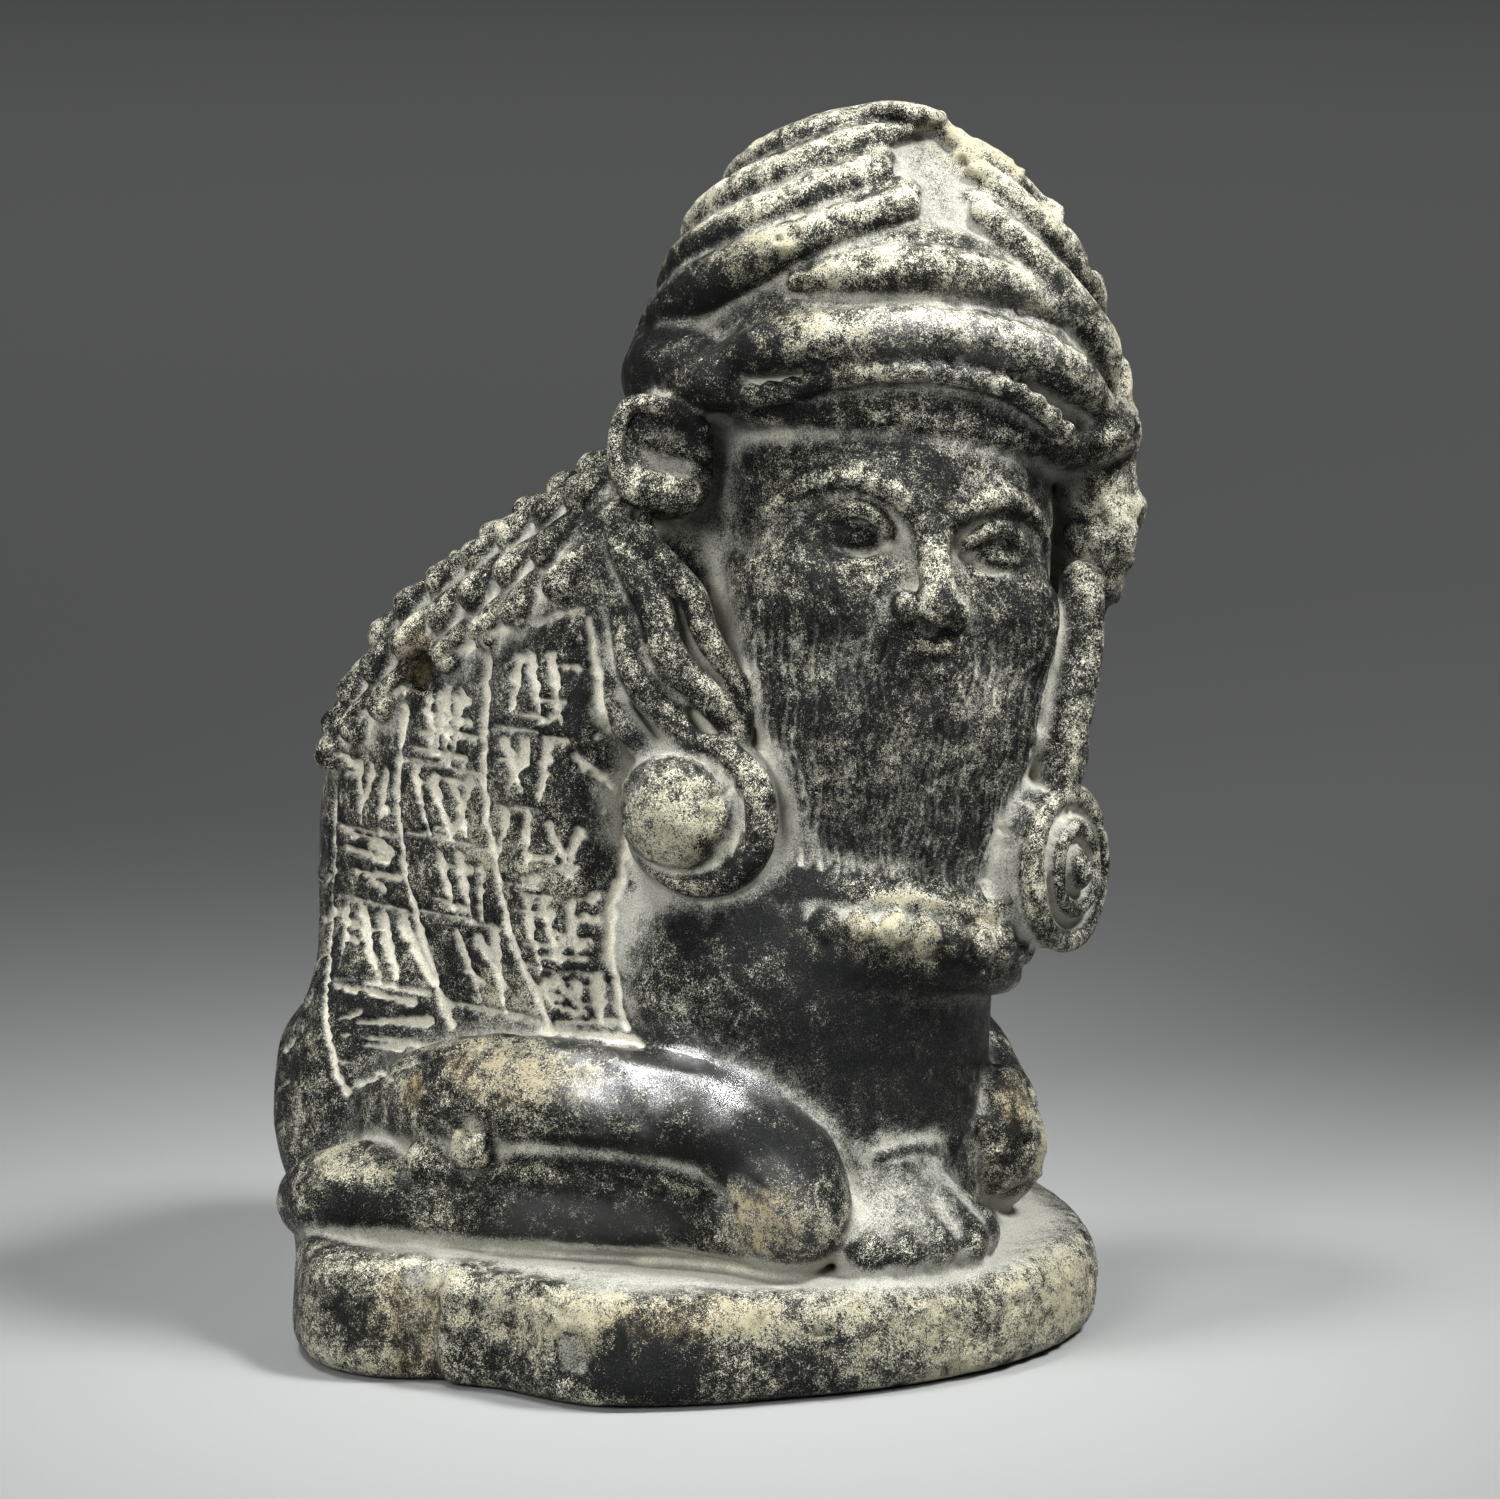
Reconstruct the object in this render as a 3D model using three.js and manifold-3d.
// Recumbent human-headed bull and its base, carved from one block of dark stone.
// Millimetres, +Z up. The origin is the centre of the flat underside, the chest faces -Y,
// and +X is the figure's left.

import * as THREE from 'three';
import { mergeVertices } from 'three/addons/utils/BufferGeometryUtils.js';
import Module from 'manifold-3d';

const wasm = await Module();
wasm.setup();

const { lerp, degToRad, smoothstep } = THREE.MathUtils;
const UP = new THREE.Vector3(0, 0, 1);
const FRONT = new THREE.Vector3(0, -1, 0);

// Base
const BASE_RADIUS = 39.6;
const BASE_HEIGHT = 11;
const BASE_EDGE = 1.8;
const BASE_FALL = 0.05; // how far the top falls for each millimetre towards the front left
const BASE_POINTS = 40;
const VIEW_TURN = 48; // the side of the base that is seen best faces this far right of the front

// The outline of the base is a circle with these features, at angles in degrees from +X
const LOBE_REACH = 5.6; // it reaches further out beside the folded right leg
const LOBE_START = [146, 160];
const LOBE_END = [180, 185];
const SWELL = { angle: 208, width: 9, reach: 3 };
const GROOVE = { angle: 192, width: 7, reach: -1.6 };

// Trunk, a rounded block whose back slopes down to the rump
const TRUNK_CENTRE = [0, -5, 38];
const TRUNK_RADII = [23.5, 44, 44];
const TRUNK_POWER = 4;
const TRUNK_FRONT = -7;
const TRUNK_FOOT = 5;
const BACK_SLOPE = 0.65;
const SLOPE_CENTRE = 12;
const SLOPE_FOOT = 30;
const SLOPE_TOP = 75;
const FLANK_DROP = 0.5;
const HAUNCH_CENTRE = [19, 22.5, 20];
const HAUNCH_RADII = [13, 12.5, 17];
const TAIL_RADIUS = 2.2;

// Chest and neck
const CHEST_X = 1;
const CHEST_Y = -11.5;
const CHEST_RADIUS = 20.5;
const CHEST_MIDDLE = 26;
const BREAST_HEIGHT = 42;
const THROAT = [4, -10, 60];
const THROAT_RADIUS = 14;

// Legs
const SHIN_RADIUS = 4.3;
const FOREARM_RADIUS = 5.3;
const HOOF_RADIUS = 5.4;
const TOE_RADIUS = 3.2;
const DEWCLAW_SIDE = 2.8;
const KNEE_RADII = [6.3, 6.3, 6.8];
const RIGHT_KNEE = [-15.3, -27.3, 17.3];
const LEFT_KNEE = [18, -23.5, 16.8];

// Head, in a frame of its own: x to the figure's left, -y out of the face and z to the crown
const HEAD_CENTRE = [10.1, -16.1, 82.9];
const HEAD_YAW = -31;
const HEAD_PITCH = -8;
const HEAD_ROLL = 10;
const HEAD_SKEW = -0.08; // the head leans a little less than its level lines do
const CROWN_HALF_WIDTH = 23.2;
const CROWN_HALF_DEPTH = 20;
const CROWN_RIM = 7;
const CROWN_RISE = 31.5;
const BROW_ROLL_RADIUS = 2.7;
const SIDE_ROLL_RADIUS = 4.6;
const RIDGE_RADIUS = 1.7;
const FACE_HALF_WIDTH = 17.5;
const FACE_DEPTH = 19;
const FACE_HALF_HEIGHT = 26;
const EYE_SPACING = 7;
const EYE_LEVEL = -4.5;
const BROW_LEVEL = -1.5;
const NOSE_LEVEL = -12;
const MOUTH_LEVEL = -15.3;
const BEARD_END = -38;
const HAIR_RADII = [25, 14, 24];
const STRAND_COUNT = 4;
const STRAND_RADIUS = 2.2;
const LEFT_HAIR_REACH = 0.8; // the hair on the left hangs closer in than on the right
const CURL_RADIUS = 8.4;
const CURL_PLACE = [19.5, -8, -34];
const CURL_TURN = 32;
const CURL_BACK = 4.5;
const CURL_FRONT = 2.6;
const CURL_BALL = 5.4;
const BEAD_RADIUS = 2.7;
const BEAD_COUNT = 8;
const BEAD_ROW = 15.5;
const BEAD_DEPTH = 12;
const BEAD_LEVEL = -42;
const BEAD_TURN = 66;

// Mane lobes and the drilled hole
const MANE_LOBE_RADII = [3, 4.2, 2];
const MANE_STEP_X = 7.5;
const MANE_STEP_Y = 7;
const MANE_START = 9;
const MANE_ROWS = 4;
const HOLE_RADIUS = 1.9;
const HOLE_MOUTH = [-24, 13, 66];
const HOLE_LENGTH = 18;
const HOLE_TILT = -62;

const headFrame = new THREE.Matrix4().compose(
  new THREE.Vector3(...HEAD_CENTRE),
  new THREE.Quaternion().setFromEuler(new THREE.Euler(
    degToRad(HEAD_PITCH), degToRad(HEAD_ROLL), degToRad(HEAD_YAW), 'ZXY')),
  new THREE.Vector3(1, 1, 1),
).multiply(new THREE.Matrix4().makeShear(0, 0, 0, 0, HEAD_SKEW, 0));

// A closed geometry with its shared vertices merged and its collapsed triangles left out.
function solid(geometry, frame = new THREE.Matrix4()) {
  geometry.deleteAttribute('normal');
  geometry.deleteAttribute('uv');
  const merged = mergeVertices(geometry.applyMatrix4(frame), 1e-4);
  const index = Array.from(merged.index.array);
  const corners = [];
  for (let i = 0; i < index.length; i += 3) {
    const triangle = index.slice(i, i + 3);
    if (new Set(triangle).size === 3) corners.push(...triangle);
  }
  return new wasm.Manifold(new wasm.Mesh({
    numProp: 3,
    vertProperties: new Float32Array(merged.attributes.position.array),
    triVerts: new Uint32Array(corners),
  }));
}

function join(solids) {
  return solids.reduce((whole, next) => whole.add(next));
}

// Moves every vertex of a geometry to the place that a function of its old place gives.
function reshape(geometry, place) {
  const position = geometry.attributes.position;
  for (let i = 0; i < position.count; i += 1) {
    const point = place(new THREE.Vector3().fromBufferAttribute(position, i));
    position.setXYZ(i, point.x, point.y, point.z);
  }
  return geometry;
}

// An ellipsoid, or a block with round edges where power is above 2. Its lower half may be flatter.
function ball(centre, radii, { power = 2, lower = 1, around = 10, rings = 6 } = {}) {
  const geometry = new THREE.SphereGeometry(1, around, rings).rotateX(Math.PI / 2);
  return reshape(geometry, (p) => {
    const reach = Math.abs(p.x) ** power + Math.abs(p.y) ** power + Math.abs(p.z) ** power;
    p.multiplyScalar(reach ** (-1 / power));
    if (p.z < 0) p.z *= lower;
    return p.multiply(new THREE.Vector3(...radii)).add(new THREE.Vector3(...centre));
  });
}

// The value at t, from 0 to 1, along a row of evenly spaced values.
function along(values, t) {
  const place = t * (values.length - 1);
  const from = Math.min(Math.floor(place), values.length - 2);
  return lerp(values[from], values[from + 1], place - from);
}

// A capsule bent along a smooth curve. wide and deep hold its half sizes at the curve's points,
// across and along the facing direction, and blunt flattens its round ends.
function limb(points, wide, { deep = wide, facing = UP, blunt = 1, around = 8, steps = 5, caps = 2 } = {}) {
  const curve = new THREE.CatmullRomCurve3(points.map((p) => new THREE.Vector3(...p)));
  const half = steps / 2;
  return reshape(new THREE.CapsuleGeometry(1, steps, caps, around, steps), (p) => {
    const t = THREE.MathUtils.clamp((p.y + half) / steps, 0, 1);
    const cap = p.y - THREE.MathUtils.clamp(p.y, -half, half);
    const tangent = curve.getTangent(t);
    const across = new THREE.Vector3().crossVectors(facing, tangent).normalize();
    const out = new THREE.Vector3().crossVectors(across, tangent);
    const reach = Math.min(along(wide, t), along(deep, t)) * blunt;
    return curve.getPoint(t)
      .addScaledVector(tangent, cap * reach)
      .addScaledVector(across, p.x * along(wide, t))
      .addScaledVector(out, p.z * along(deep, t));
  });
}

// The triangles of the outer surface: the stone is solid, so the small pockets that the joined
// shapes close off between them are filled by leaving out their walls.
function outerTriangles(corners, vertexCount) {
  const parent = Array.from({ length: vertexCount }, (unused, i) => i);
  const root = (vertex) => {
    let at = vertex;
    while (parent[at] !== at) at = parent[at];
    parent[vertex] = at;
    return at;
  };
  for (let i = 0; i < corners.length; i += 3) {
    parent[root(corners[i + 1])] = root(corners[i]);
    parent[root(corners[i + 2])] = root(corners[i]);
  }
  const sizes = new Map();
  corners.forEach((vertex) => sizes.set(root(vertex), (sizes.get(root(vertex)) ?? 0) + 1));
  const largest = [...sizes.entries()].reduce((best, next) => (next[1] > best[1] ? next : best))[0];
  return corners.filter((vertex) => root(vertex) === largest);
}

function mirror(point, side) {
  return [point[0] * side, point[1], point[2]];
}

// Base

function bump(degrees, { angle, width, reach }) {
  return reach * Math.exp(-(((degrees - angle) / width) ** 2));
}

function baseRadius(degrees) {
  const lobe = smoothstep(degrees, ...LOBE_START) * (1 - smoothstep(degrees, ...LOBE_END));
  return BASE_RADIUS + LOBE_REACH * lobe + bump(degrees, SWELL) + bump(degrees, GROOVE);
}

// The top of the base falls from the right haunch towards the left knee.
function baseTop(x, y) {
  const turn = degToRad(VIEW_TURN);
  return BASE_HEIGHT - BASE_FALL * (Math.cos(turn) * x - Math.sin(turn) * y);
}

function base() {
  const outline = new THREE.Shape();
  for (let i = 0; i < BASE_POINTS; i += 1) {
    const degrees = i * 360 / BASE_POINTS;
    const point = new THREE.Vector2(baseRadius(degrees), 0);
    point.rotateAround(new THREE.Vector2(), degToRad(degrees));
    if (i === 0) outline.moveTo(point.x, point.y);
    else outline.lineTo(point.x, point.y);
  }
  outline.closePath();
  const slab = new THREE.ExtrudeGeometry(outline, {
    depth: BASE_HEIGHT - 2 * BASE_EDGE,
    bevelThickness: BASE_EDGE,
    bevelSize: BASE_EDGE,
    bevelOffset: -BASE_EDGE,
    bevelSegments: 1,
  }).translate(0, 0, BASE_EDGE);
  return reshape(slab, (p) => {
    if (p.z > BASE_HEIGHT / 2) p.z += baseTop(p.x, p.y) - BASE_HEIGHT;
    return p;
  });
}

// Body

// How far the back is lifted towards the neck, less so at the flanks than along the spine.
function backLift(x, y, z) {
  const flank = 1 - FLANK_DROP * (x / TRUNK_RADII[0]) ** 2;
  return BACK_SLOPE * (SLOPE_CENTRE - y) * flank * smoothstep(z, SLOPE_FOOT, SLOPE_TOP);
}

function trunk() {
  const block = ball(TRUNK_CENTRE, TRUNK_RADII, { power: TRUNK_POWER, around: 20, rings: 12 });
  return reshape(block, (p) => {
    p.y = Math.max(p.y, TRUNK_FRONT);
    p.z = Math.max(p.z + backLift(p.x, p.y, p.z), TRUNK_FOOT);
    return p;
  });
}

// Height of the sloping back above a point of the plan.
function backHeight(x, y) {
  const across = Math.abs((x - TRUNK_CENTRE[0]) / TRUNK_RADII[0]) ** TRUNK_POWER;
  const length = Math.abs((y - TRUNK_CENTRE[1]) / TRUNK_RADII[1]) ** TRUNK_POWER;
  const z = TRUNK_CENTRE[2] + TRUNK_RADII[2] * Math.max(1 - across - length, 0) ** (1 / TRUNK_POWER);
  return z + backLift(x, y, z);
}

function chest() {
  const heights = [TRUNK_FOOT, CHEST_MIDDLE, BREAST_HEIGHT];
  const points = [...heights.map((z) => [CHEST_X, CHEST_Y, z]), THROAT];
  const radii = [CHEST_RADIUS, CHEST_RADIUS, CHEST_RADIUS, THROAT_RADIUS];
  return limb(points, radii, { facing: FRONT, around: 16, steps: 6, blunt: 0.1, caps: 1 });
}

// The mane covers the sloping back in staggered rows of lobes.
function maneLobes() {
  const lobes = [];
  for (let row = 0; row < MANE_ROWS; row += 1) {
    const y = MANE_START + row * MANE_STEP_Y;
    for (let place = -2; place <= 2; place += 1) {
      const x = (place + (row % 2) / 2) * MANE_STEP_X;
      const lobe = ball([0, 0, 0], MANE_LOBE_RADII, { around: 5, rings: 3 });
      lobes.push(lobe.rotateX(-Math.atan(BACK_SLOPE)).translate(x, y, backHeight(x, y)));
    }
  }
  return lobes;
}

// Haunches, the hind hoof on the left and the tail, which hangs down the rump to its tuft.
function rump() {
  const tail = [[0, 37, 55], [0, 38.4, 42], [4, 38, 28], [8, 36, 18]];
  const hindHoof = [[28, 18, 14], [30, 6, 14], [29, -5, 14]];
  return [
    ball(HAUNCH_CENTRE, HAUNCH_RADII, { around: 12, rings: 8 }),
    ball(mirror(HAUNCH_CENTRE, -1), HAUNCH_RADII, { around: 12, rings: 8 }),
    limb(tail, [TAIL_RADIUS, TAIL_RADIUS, TAIL_RADIUS, TAIL_RADIUS + 0.8]),
    limb(hindHoof, [4.5, 4, 4.6]),
  ];
}

// Legs

// The right foreleg is folded under: its forearm runs forward to the knee and its shin back
// along the base to the hoof.
function foldedForeleg() {
  const forearm = [[-27, 10, 28], [-28, 0, 27.5], [-23, -10, 26.5], [-18, -20, 25], [-15.5, -27, 20.5]];
  const shin = [[-16, -27, 15.8], [-20, -17, 15.6], [-26, -7, 15.4], [-31, 3, 15.4], [-33, 8, 15.8]];
  const hoof = [[-33, 7, 16.2], [-35, 13, 16.4], [-35.5, 20, 15.6]];
  const dewclaw = new THREE.BoxGeometry(DEWCLAW_SIDE, DEWCLAW_SIDE, DEWCLAW_SIDE);
  return [
    limb(forearm, [8, 5.8, FOREARM_RADIUS, FOREARM_RADIUS, 5.6]),
    limb(shin, [4.8, SHIN_RADIUS, SHIN_RADIUS - 0.2, SHIN_RADIUS - 0.2, SHIN_RADIUS]),
    limb(hoof, [SHIN_RADIUS, HOOF_RADIUS, 5]),
    ball(RIGHT_KNEE, KNEE_RADII, { rings: 8 }),
    dewclaw.translate(-33, -0.5, 23),
  ];
}

// The left foreleg is bent with its cloven hoof set down in front of the chest.
function plantedForeleg() {
  const forearm = [[27, 8, 27], [26, -6, 26.5], [22, -16, 25], [17, -24, 21]];
  const pastern = [-3, -31, 20.5];
  const toes = [[-8.6, -34.2, 13], [-4, -36, 13], [3.5, -34, 13]];
  return [
    limb(forearm, [7, 6, FOREARM_RADIUS, 5.6]),
    ball(LEFT_KNEE, KNEE_RADII, { rings: 8 }),
    ball([13, -29, 20.5], [4.8, 4.6, 6.5]),
    ...toes.map((toe) => limb([pastern, toe], [TOE_RADIUS - 1, TOE_RADIUS], { steps: 2, around: 6 })),
  ];
}

// Crown

// A point on the dome of the crown: the angle is measured from the front, round to the left.
function onCrown(degrees, height, proud = 0) {
  const level = (height - CROWN_RIM) / CROWN_RISE;
  const shrink = Math.sqrt(Math.max(1 - level * level, 0));
  return [
    Math.sin(degToRad(degrees)) * (CROWN_HALF_WIDTH * shrink + proud),
    -Math.cos(degToRad(degrees)) * (CROWN_HALF_DEPTH * shrink + proud),
    height,
  ];
}

// A roll on the dome between two angles, its height given at both ends and the middle.
function crownRoll([from, to], heights, radius, { ends = radius * 0.4, steps = 6, proud = 0 } = {}) {
  const points = [];
  for (let i = 0; i <= 4; i += 1) {
    points.push(onCrown(lerp(from, to, i / 4), along(heights, i / 4), proud));
  }
  return limb(points, [ends, radius, radius, radius, ends], { steps, around: 6, caps: 1 });
}

// The horns lie on the dome as rolls: two across the brow over a thin hem, three that sweep back
// from a ridge in the middle, and the thick horn root over each ear.
function crown() {
  const radii = [CROWN_HALF_WIDTH, CROWN_HALF_DEPTH, CROWN_RISE];
  const ridge = [onCrown(0, 24), onCrown(0, 31), onCrown(0, 37)];
  const parts = [
    ball([0, 0, CROWN_RIM], radii, { lower: 0.15, around: 16, rings: 8 }),
    crownRoll([-64, 64], [12, 14.5, 12], BROW_ROLL_RADIUS, { proud: 1.2, steps: 8 }),
    crownRoll([-58, 58], [18.5, 21, 18.5], BROW_ROLL_RADIUS, { steps: 8 }),
    crownRoll([-76, 76], [7.5, 9.5, 7.5], 1.4, { ends: 1.2, proud: 0.2, steps: 8 }),
    limb(ridge, [RIDGE_RADIUS, RIDGE_RADIUS], { facing: FRONT, steps: 4, around: 6, caps: 1 }),
  ];
  for (const side of [-1, 1]) {
    parts.push(crownRoll([9 * side, 112 * side], [26, 21, 12], 2.6));
    parts.push(crownRoll([10 * side, 110 * side], [30.5, 27, 19], 2.4));
    parts.push(crownRoll([12 * side, 105 * side], [34.5, 32, 26], 2.2));
    parts.push(crownRoll([62 * side, 118 * side], [11, 9, 8], SIDE_ROLL_RADIUS, { proud: -0.8 }));
  }
  return parts;
}

// Head, with a plain face on even thirds between hairline, brow, nose and chin

function face() {
  const radii = [FACE_HALF_WIDTH, FACE_DEPTH, FACE_HALF_HEIGHT];
  const parts = [ball([0, 1, -6], radii, { around: 14, rings: 10 })];
  const nose = [[0, -17.6, BROW_LEVEL - 1], [0, -20.4, NOSE_LEVEL + 3], [0, -20.8, NOSE_LEVEL + 1.2]];
  parts.push(limb(nose, [1.5, 2.1, 2.7], { facing: FRONT, steps: 4, around: 6 }));
  for (const level of [MOUTH_LEVEL + 0.5, MOUTH_LEVEL - 0.9]) {
    const lip = [[-4.6, -16.2, level], [0, -18.4, level], [4.6, -16.2, level]];
    parts.push(limb(lip, [0.4, 1, 0.4], { steps: 4, around: 5, caps: 1 }));
  }
  const browTop = [EYE_SPACING, -16, BROW_LEVEL + 1.6];
  const brow = [[2.4, -17.4, BROW_LEVEL], browTop, [11.6, -12.6, BROW_LEVEL - 0.4]];
  for (const side of [-1, 1]) {
    const arch = brow.map((point) => mirror(point, side));
    parts.push(ball(mirror([EYE_SPACING, -14.6, EYE_LEVEL], side), [3.4, 2.6, 2.1], { around: 8 }));
    parts.push(limb(arch, [0.9, 1.2, 0.8], { steps: 4, around: 5, caps: 1 }));
  }
  return parts;
}

// The mass of hair behind the face, and on each side the strands that run down to its curl.
function hair() {
  const parts = [ball([-2, 7, -6], HAIR_RADII, { around: 16, rings: 8 })];
  for (const side of [-1, LEFT_HAIR_REACH]) {
    const bed = [[22, 2, -4], [21, -2, -16], [15, -5, -27]].map((p) => mirror(p, side));
    parts.push(limb(bed, [6, 7, 5], { steps: 3 }));
    for (let strand = 0; strand < STRAND_COUNT; strand += 1) {
      const points = [
        [29 - strand * 1.4, -strand * 1.7, -4 + strand * 0.6],
        [29 - strand * 3.2, -5 - strand, -16.6],
        [25 - strand * 3, -7 - strand * 0.7, -26.4 + strand * 1.5],
        [21.5 - strand * 2.4, -8.5 - strand * 0.5, -28.6 + strand * 1.2],
      ];
      const girth = [STRAND_RADIUS - 0.4, STRAND_RADIUS, STRAND_RADIUS - 0.2, STRAND_RADIUS - 0.6];
      parts.push(limb(points.map((p) => mirror(p, side)), girth, { around: 6, steps: 4, caps: 1 }));
    }
  }
  return parts;
}

function beard() {
  const spine = [[0, -5, -8], [0, -7.5, -22], [0, -9.5, BEARD_END]];
  const deep = [13.5, 10, 5.5];
  return limb(spine, [17, 15, 9.8], { deep, facing: FRONT, blunt: 0.2, around: 16, caps: 1 });
}

// One end of the side hair: a coil seen from its front, with a ball in its middle.
function curl(side) {
  const profile = [[0, -CURL_BACK], [CURL_RADIUS - 1.6, -CURL_BACK], [CURL_RADIUS, 2 - CURL_BACK],
    [CURL_RADIUS, 1], [CURL_RADIUS - 1.2, CURL_FRONT], [CURL_RADIUS - 2.2, CURL_FRONT]];
  for (const degrees of [0, 30, 60, 90]) {
    const turn = degToRad(degrees);
    profile.push([Math.cos(turn) * CURL_BALL, 1.8 + Math.sin(turn) * 3.2]);
  }
  const disc = new THREE.LatheGeometry(profile.map(([r, z]) => new THREE.Vector2(r, z)), 12);
  disc.rotateX(Math.PI).rotateZ(degToRad(side * CURL_TURN));
  return disc.translate(...mirror(CURL_PLACE, side));
}

// The row of small curls that ends the beard, round the front from one side curl to the other.
function beads() {
  return Array.from({ length: BEAD_COUNT }, (unused, i) => {
    const turn = degToRad(lerp(-BEAD_TURN, BEAD_TURN, i / (BEAD_COUNT - 1)));
    const centre = [BEAD_ROW * Math.sin(turn), -4 - BEAD_DEPTH * Math.cos(turn), BEAD_LEVEL];
    return ball(centre, [BEAD_RADIUS, BEAD_RADIUS, BEAD_RADIUS + 0.3], { around: 7, rings: 4 });
  });
}

// The right ear is a leaf of two folds. The left one is broken to a stub.
function ears() {
  const fold = (z) => {
    const points = [[-19, -4, -2], [-24, -3, z], [-27.5, 0, z + 1.5]];
    return limb(points, [2, 3, 1.2], { around: 6, steps: 4 });
  };
  return [fold(3), fold(-1.5), ball([24, -2, -2], [4, 5, 5])];
}

// The whole figure

function drilledHole() {
  const bore = new THREE.CylinderGeometry(HOLE_RADIUS, HOLE_RADIUS, HOLE_LENGTH, 16);
  return bore.rotateZ(degToRad(HOLE_TILT)).translate(...HOLE_MOUTH);
}

function statue() {
  const legs = [...foldedForeleg(), ...plantedForeleg()];
  const body = [base(), trunk(), chest(), ...rump(), ...legs, ...maneLobes()];
  const head = [...crown(), ...face(), ...hair(), beard(), curl(-1), curl(1), ...beads(), ...ears()];
  const whole = join([
    ...body.map((geometry) => solid(geometry)),
    ...head.map((geometry) => solid(geometry, headFrame)),
  ]);
  const mesh = whole.subtract(solid(drilledHole())).getMesh();
  const vertexCount = mesh.vertProperties.length / mesh.numProp;
  const geometry = new THREE.BufferGeometry();
  geometry.setAttribute('position', new THREE.BufferAttribute(mesh.vertProperties, mesh.numProp));
  geometry.setIndex(outerTriangles(Array.from(mesh.triVerts), vertexCount));
  return geometry;
}

const stone = new THREE.MeshStandardMaterial({ color: 0x3a3b33, roughness: 0.5, metalness: 0 });
const figure = new THREE.Mesh(statue(), stone);
figure.name = 'statue';

const group = new THREE.Group();
group.add(figure);

export default group;
